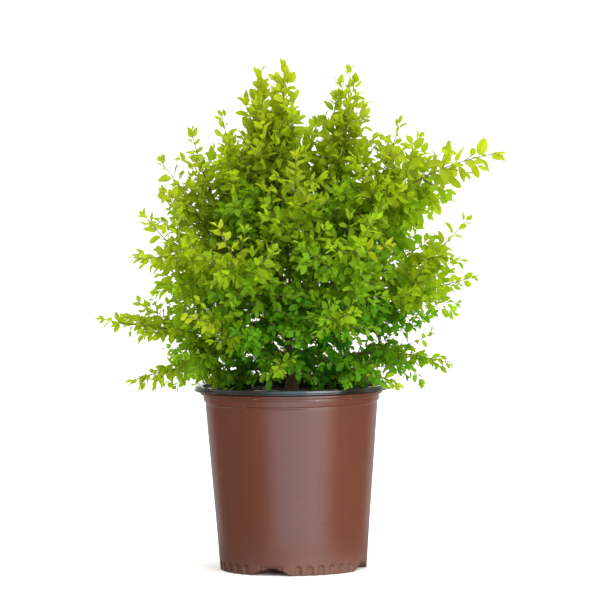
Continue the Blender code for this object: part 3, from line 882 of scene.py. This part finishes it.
def stretch(points, start, end, count):
    """count + 1 points evenly spaced along a path, from one distance to another."""
    places = [start + (end - start) * k / count for k in range(count + 1)]
    return [point_and_way(points, place)[0] for place in places]


def ridged(ways, radii, sides, grain):
    """Radii round each tube with ridges that run along it."""
    rows = []
    for way, row in zip(ways, radii):
        for point, radius in zip(way, row):
            for n in range(sides):
                turn = TURN * n / sides
                around = Vector((math.cos(turn), math.sin(turn), 0)) * 3
                relief = noise.fractal(around + Vector(point) * grain, 1.0, 2.0, 3)
                rows.append(radius * (1 + BARK_RELIEF * relief))
    return np.array(rows).reshape(len(ways), -1, sides)


def make_stem(finish):
    shares = [k / STEM_RINGS for k in range(STEM_RINGS + 1)]
    way = np.array([[stem_point(share) for share in shares]])
    radii = [[stem_radius(share) for share in shares]]
    radii = ridged(way, radii, STEM_SIDES, STEM_GRAIN)
    points, faces = tubes(way, radii, STEM_SIDES)
    piece("stem_bark", points, faces, finish, "bark", ["stem"])


def make_boughs(paths, finish):
    """The limbs' bare lower stretch and on into the foliage, as far as their bark is grey."""
    ways, radii = [], []
    for path in paths:
        ways.append(stretch(path, 0, length_of(path) * BARK_SHARE, BOUGH_RINGS))
        radii.append(np.linspace(BOUGH_RADIUS, BARK_END_RADIUS, BOUGH_RINGS + 1))
    ways = np.array(ways)
    relief = ridged(ways, radii, BOUGH_SIDES, BOUGH_GRAIN)
    points, faces = tubes(ways, relief, BOUGH_SIDES)
    boughs = [name for name in NODES if name.startswith("bough_")]
    piece("bough_bark", points, faces, finish, "bark", boughs)


# Foliage


class Space:
    """What each mass keeps to: nearer its own leader than others, and clear of the limbs."""

    def __init__(self, leaders, limbs):
        self.nearest = self.tree([point for points in leaders for point in points])
        self.own = [self.tree(points) for points in leaders]
        self.limbs = self.tree([point for points, radii in limbs for point in points])
        self.radii = [radius for points, radii in limbs for radius in radii]

    def tree(self, points):
        made = KDTree(len(points))
        for k, point in enumerate(points):
            made.insert(point, k)
        made.balance()
        return made

    def holds(self, mass, point):
        if self.own[mass].find(point)[2] > self.nearest.find(point)[2] + OVERLAP:
            return False
        limb = self.limbs.find(point)
        if limb[2] < self.radii[limb[1]] + LIMB_CLEAR:
            return False
        if abs(point.x) > LIP_RADIUS + SKIRT_CLEAR:
            return point.z > SKIRT_Z
        radius = math.hypot(point.x, point.y)
        ground = soil_height(radius) if radius < OPENING_RADIUS else POT_HEIGHT
        return point.z > ground + RIM_CLEAR


def fan(ahead, turn, angle):
    """A direction angle away from ahead, at a turn about it from level."""
    first = UP.cross(ahead + Vector((0.01, 0, 0))).normalized()
    first = (first - ahead * first.dot(ahead)).normalized()
    second = ahead.cross(first)
    sideways = first * math.cos(turn) + second * math.sin(turn)
    return (ahead * math.cos(angle) + sideways * math.sin(angle)).normalized()


class Mass:
    """One mass of foliage: side twigs in pairs up a leader, twiglets on them, leaves on all."""

    def __init__(self, index, limb, leader, space):
        self.index = index
        self.limb = limb
        self.leader = leader
        self.space = space
        self.rng = random.Random(f"{GROWTH_SEED} {limb.name}")
        self.dealer = random.Random(f"colours {limb.name}")
        self.shoots = []  # path, radii
        self.leaves = []  # root, along, facing, length, colour

    def stray(self, most):
        return self.rng.uniform(-most, most)

    def layered(self, along):
        """A side shoot's direction, nearer level and higher or lower by its tier's habit."""
        return Vector((along.x, along.y, along.z * self.limb.flat + self.limb.rise)).normalized()

    def shoot(self, root, along, length, lift, radii):
        """A twig that bends up as it grows, and stops where its mass's space does."""
        steps = max(3, round(length / SHOOT_STEP))
        points = [root]
        for k in range(steps):
            wobble = Vector([self.rng.gauss(0, SHOOT_WOBBLE) for _ in range(3)])
            along = (along + UP * lift / steps + wobble).normalized()
            point = points[-1] + along * length / steps
            if k > 0 and not self.space.holds(self.index, point):
                break
            points.append(point)
        if length_of(points) < SHOOT_LEAST:
            return None
        self.shoots.append((points, radii))
        return points

    def colour_of(self, point, share):
        """The leaf colour of a spray, by how far it is from the crown's heart and some chance: darker
        greens near the heart stand partly for older leaves and partly for painted shade.
        """
        if self.dealer.random() < GOLD_SHARE:
            return "gold"
        away = [(p - h) / reach for p, h, reach in zip(point, HEART, HEART_REACH)]
        # Painted shade: sprays deep and low in the crown get darker greens, those out at its top and sides
        # lighter ones, partly as young growth.
        youth_and_light = YOUTH_AND_LIGHT_LEAST + YOUTH_AND_LIGHT_AWAY * math.hypot(*away) + YOUTH_AND_LIGHT_OUT * share
        youth_and_light += self.dealer.gauss(0, YOUTH_AND_LIGHT_SPREAD)
        names = list(LEAF_COLOURS)
        return names[min(len(names) - 1, max(0, int(youth_and_light * len(names))))]

    def grow_leaves(self, path, colour, clear=0.0):
        """Opposite pairs of leaves up a shoot, smaller and more upright towards its tip."""
        whole = length_of(path)
        pairs = max(1, round((whole - clear) / (LEAF_STEP * self.limb.leaf)))
        turn = self.rng.uniform(0, TURN)
        for k in range(pairs + 1):
            last = k == pairs
            at = whole - LAST_PAIR if last else clear + (whole - clear) * (k + 0.5) / pairs
            point, ahead = point_and_way(path, at)
            young = max(0.0, 1 - (whole - at) / YOUNG_REACH)
            for way in (0, TURN / 2):
                angle = LEAF_ANGLE + (YOUNG_ANGLE - LEAF_ANGLE) * young + self.stray(LEAF_JITTER)
                along = fan(ahead, turn + way + self.stray(LEAF_JITTER), angle)
                along = (along - UP * self.limb.hang).normalized()
                size = 1 - (1 - YOUNG_SIZE) * young**1.5
                length = LEAF_LENGTH * self.limb.leaf * size * self.rng.uniform(*LEAF_SIZES)
                if self.space.holds(self.index, point + along * length):
                    facing = self.facing(point, along)
                    self.leaves.append((point, along, facing, length, colour))
            turn += TURN / 4 + self.stray(LEAF_JITTER)

    def facing(self, point, along):
        """The way a blade's upper side looks: up and out of the crown, with some roll."""
        out = Vector((point.x, point.y, (point.z - CROWN_AXIS_Z) * 0.5)).normalized()
        roll = Vector([self.rng.gauss(0, LEAF_ROLL) for _ in range(3)])
        flat = UP * SUNWARD + out * OUTWARD + roll
        return (flat - along * flat.dot(along)).normalized()

    def grow(self):
        whole = length_of(self.leader)
        twiggy = 1 - self.limb.slim - TWIG_START
        pairs = round(whole * twiggy / (TWIG_STEP * self.limb.gap))
        turn = self.rng.uniform(0, TURN)
        for k in range(pairs + 1):
            share = TWIG_START + twiggy * (k / pairs) ** TWIG_SPACING
            length = min(TWIG_LENGTH, TWIG_REACH * whole * (1 - share)) * self.limb.fill
            point, ahead = point_and_way(self.leader, whole * share)
            wide, narrow = TWIG_ANGLES
            for way in (0, TURN / 2):
                angle = wide + (narrow - wide) * share + self.stray(TWIG_JITTER)
                along = self.layered(fan(ahead, turn + way, angle))
                self.grow_spray(point, along, length * (1 + self.stray(TWIG_JITTER)), share)
            turn += TURN / 4 + self.stray(TWIG_JITTER)
        tip = self.leader[-1]
        self.grow_leaves(self.leader, self.colour_of(tip, 1.0), whole * LEADER_BARE)

    def grow_spray(self, root, along, length, share):
        """A side twig with its own pairs of twiglets, all of one leaf colour."""
        twig = self.shoot(root, along, length, self.limb.rise, TWIG_RADII)
        if twig is None:
            return
        colour = self.colour_of(twig[-1], share)
        self.grow_leaves(twig, colour)
        whole = length_of(twig)
        turn = self.rng.uniform(0, TURN)
        for k in range(round((whole - SLIM_END) / TWIGLET_STEP)):
            at = TWIGLET_STEP * (k + 0.5)
            point, ahead = point_and_way(twig, at)
            for way in (0, TURN / 2):
                out = fan(ahead, turn + way, TWIGLET_ANGLE + self.stray(TWIG_JITTER))
                out.z *= self.limb.flat
                reach = TWIGLET_LENGTH * (1 - TWIGLET_TAPER * at / whole)
                reach *= 1 + self.stray(TWIGLET_JITTER)
                twiglet = self.shoot(point, out, reach, self.limb.rise, TWIGLET_RADII)
                if twiglet:
                    self.grow_leaves(twiglet, colour)
            turn += TURN / 4


def leader_of(path):
    """The part of a limb's path that its mass grows on."""
    whole = length_of(path)
    return stretch(path, whole * BOUGH_SHARE, whole - TIP_LEAF, LIMB_SAMPLES)


def make_twigs(masses, paths, finish, foliage):
    """The leaders' green ends and every side twig, joined."""
    ways, radii = [], []
    for path in paths:
        whole = length_of(path)
        ways.append(stretch(path, whole * BARK_SHARE, whole - TIP_LEAF, LEADER_POINTS - 1))
        radii.append(np.linspace(BARK_END_RADIUS, LEADER_END_RADIUS, LEADER_POINTS))
    leader_points, leader_faces = tubes(np.array(ways), np.array(radii), LEADER_SIDES)
    ways, radii = [], []
    for mass in masses:
        for path, (thick, thin) in mass.shoots:
            ways.append(stretch(path, 0, length_of(path), TWIG_POINTS - 1))
            radii.append(np.linspace(thick, thin, TWIG_POINTS))
    points, faces = tubes(np.array(ways), np.array(radii), TWIG_SIDES)
    shift = len(leader_points)
    faces = leader_faces + [[shift + k for k in face] for face in faces]
    piece("twigs", np.concatenate([leader_points, points]), faces, finish, "bark", foliage)


def blade_width(share):
    """Half a blade's width over its greatest half width."""
    return math.sin(math.pi * share**BLADE_FULLEST) ** BLADE_BLUNT


def leaf_sheet(leaves, rng):
    """Points, faces and marks of many leaves: a petiole, and a blade folded at its midrib."""
    root, along, facing = [np.array([leaf[k] for leaf in leaves]) for k in range(3)]
    length = np.array([leaf[3] for leaf in leaves])[:, None]
    count = len(leaves)
    side = unit(np.cross(along, facing))
    width = length * LEAF_SLIMNESS / 2 * rng.uniform(*LEAF_WIDTHS, (count, 1))
    fold = rng.uniform(*LEAF_FOLD, (count, 1))
    droop = rng.uniform(*LEAF_DROOP, (count, 1))
    curl = rng.uniform(0, TURN, (count, 1))
    twist = rng.normal(0, LEAF_TWIST, (count, 1))
    rows, across, distance = [], [], []

    def row(reach, half, share, middle_only=False):
        """Left, middle and right points across a blade, or only its middle one."""
        for where in (0,) if middle_only else (-1, 0, 1):
            wave = EDGE_WAVE * np.sin(curl + 7 * share + where)
            lift = np.abs(where) * half * (fold + wave) - droop * length * share**2
            turned = side * np.cos(twist * share) + facing * np.sin(twist * share)
            rows.append(root + along * reach + turned * where * half + facing * lift)
            across.append(abs(where))
            distance.append(share)

    row(0.0, PETIOLE_WIDTH / 2, 0.0)
    for share in BLADE_STATIONS:
        half = np.maximum(width * blade_width(share), PETIOLE_WIDTH / 2)
        row(PETIOLE_LENGTH + (length - PETIOLE_LENGTH) * share, half, share)
    row(length, width, 1.0, middle_only=True)

    points = np.stack(rows, axis=1)
    size = len(rows)
    one = []
    for k in range(len(BLADE_STATIONS)):
        a, b = 3 * k, 3 * k + 3
        one += [(a, a + 1, b + 1, b), (a + 1, a + 2, b + 2, b + 1)]
    quads = (np.array(one)[None] + size * np.arange(count)[:, None, None]).reshape(-1, 4)
    last = size - 1
    tips = np.array([(last - 3, last - 2, last), (last - 2, last - 1, last)])
    tips = (tips[None] + size * np.arange(count)[:, None, None]).reshape(-1, 3)
    marks = {
        "across": np.tile(across, count).astype(float),
        "along": np.tile(distance, count).astype(float),
        "tint": np.repeat(rng.random(count), size),
    }
    return points.reshape(-1, 3), quads.tolist() + tips.tolist(), marks, size


def crease_midribs(mesh, size):
    """Keep each blade's fold sharp: both ends of such an edge are middle points."""
    ends = np.zeros(len(mesh.edges) * 2, dtype=int)
    mesh.edges.foreach_get("vertices", ends)
    place = ends.reshape(-1, 2) % size
    middle = (place % 3 == 1) | (place == size - 1)
    sharp = mesh.attributes.new("sharp_edge", "BOOLEAN", "EDGE")
    sharp.data.foreach_set("value", middle.all(axis=1))


def make_leaves(masses, foliage):
    """One joined piece for each leaf colour."""
    looks = dict(LEAF_COLOURS, gold=GOLD)
    for number, (name, (colour, through)) in enumerate(looks.items()):
        leaves = [leaf for mass in masses for leaf in mass.leaves if leaf[4] == name]
        if not leaves:
            continue
        points, faces, marks, size = leaf_sheet(leaves, np.random.default_rng(number))
        finish = leaf_blade(f"leaf_{name}", colour, through)
        made = piece(f"leaves_{name}", points, faces, finish, "leaves", foliage, marks=marks)
        crease_midribs(made.data, size)


def make_plant():
    limbs = all_limbs()
    paths = [limb_path(limb, share) for limb, share in zip(limbs, root_shares(limbs))]
    grey, tan = bark("bark_grey", *GREY_BARK), bark("bark_tan", *TAN_BARK)
    make_stem(grey)
    make_boughs(paths, grey)
    shares = [k / LIMB_SAMPLES for k in range(LIMB_SAMPLES + 1)]
    bare = [([stem_point(share) for share in shares], [stem_radius(share) for share in shares])]
    for path in paths:
        reach = length_of(path) * BOUGH_SHARE
        bare.append((stretch(path, 0, reach, LIMB_SAMPLES), [BOUGH_RADIUS] * len(shares)))
    leaders = [leader_of(path) for path in paths]
    space = Space(leaders, bare)
    masses = [Mass(k, limb, leaders[k], space) for k, limb in enumerate(limbs)]
    for mass in masses:
        mass.grow()
    foliage = [name for name in NODES if name.startswith("foliage_")]
    make_twigs(masses, paths, tan, foliage)
    make_leaves(masses, foliage)


# Studio


def make_floor():
    bm = bmesh.new()
    bmesh.ops.create_circle(bm, cap_ends=True, segments=96, radius=FLOOR_RADIUS)
    mesh = bpy.data.meshes.new("studio_floor")
    bm.to_mesh(mesh)
    bm.free()
    floor = bpy.data.objects.new("studio_floor", mesh)
    bpy.context.scene.collection.objects.link(floor)
    mesh.materials.append(studio_floor())
    floor.visible_glossy = False  # a bright floor mirrored in the pot would wash out its brown


def area_light(name, place, aim, size, power):
    lamp = bpy.data.lights.new(name, "AREA")
    lamp.shape = "RECTANGLE"
    lamp.size, lamp.size_y = size
    lamp.energy = power
    made = bpy.data.objects.new(name, lamp)
    made.location = place
    made.rotation_euler = (Vector(aim) - Vector(place)).to_track_quat("-Z", "Y").to_euler()
    bpy.context.scene.collection.objects.link(made)


def studio_light():
    """Light from all round: bright walls behind and above, dim in front. The camera sees white.

    Reflections alone have a tall panel in front and, below the horizon, a dark half with a pale
    patch straight behind, which lines the pot's edges. The floor hides that half from the rest.
    """
    finish = Finish("studio", bpy.data.worlds, "Background", "Generated")

    def towards(aim, low, high):
        sockets = {0: finish.place, 1: aim}
        share = finish.node("ShaderNodeVectorMath", {"operation": "DOT_PRODUCT"}, sockets, "Value")
        return finish.step(share, low, high)

    behind = towards(BRIGHT_WAY, -0.5, 0.5)
    above = towards((0, 0, 1), -0.02, 0.06)
    panel = towards(PANEL_WAY, 0.57, 0.95)
    backdrop = towards((0, 1, 0), 0.62, 0.78)
    seen, mirrored = [
        finish.node("ShaderNodeLightPath", out=f"Is {kind} Ray") for kind in ("Camera", "Glossy")
    ]
    light = FRONT_STRENGTH + (BACK_STRENGTH - FRONT_STRENGTH) * behind
    light = light * above + UNDER_STRENGTH * (1 - above)
    light = light + mirrored * (PANEL_STRENGTH * panel + EDGE_STRENGTH * backdrop * (1 - above))
    tint = finish.mix(mirrored * panel, (1, 1, 1), PANEL_TINT)
    finish.surface(color=tint, strength=light * (1 - seen) + seen)
    return finish.material


def make_studio():
    make_floor()
    bpy.context.scene.world = studio_light()
    bpy.context.scene.view_settings.view_transform = "Standard"
    area_light("softbox_key", *KEY_LIGHT)
    area_light("softbox_top", *TOP_LIGHT)


def make_camera():
    lens = bpy.data.cameras.new("camera")
    lens.lens = CAMERA_LENS
    lens.sensor_width = SENSOR
    camera = bpy.data.objects.new("camera", lens)
    camera.location = CAMERA_PLACE
    aim = (CAMERA_AIM - CAMERA_PLACE).to_track_quat("-Z", "Y")
    camera.rotation_euler = (aim @ Quaternion((0, 0, 1), CAMERA_ROLL)).to_euler()
    bpy.context.scene.collection.objects.link(camera)
    bpy.context.scene.camera = camera


make_camera()
make_studio()
make_pot()
make_soil()
make_chips()
make_plant()
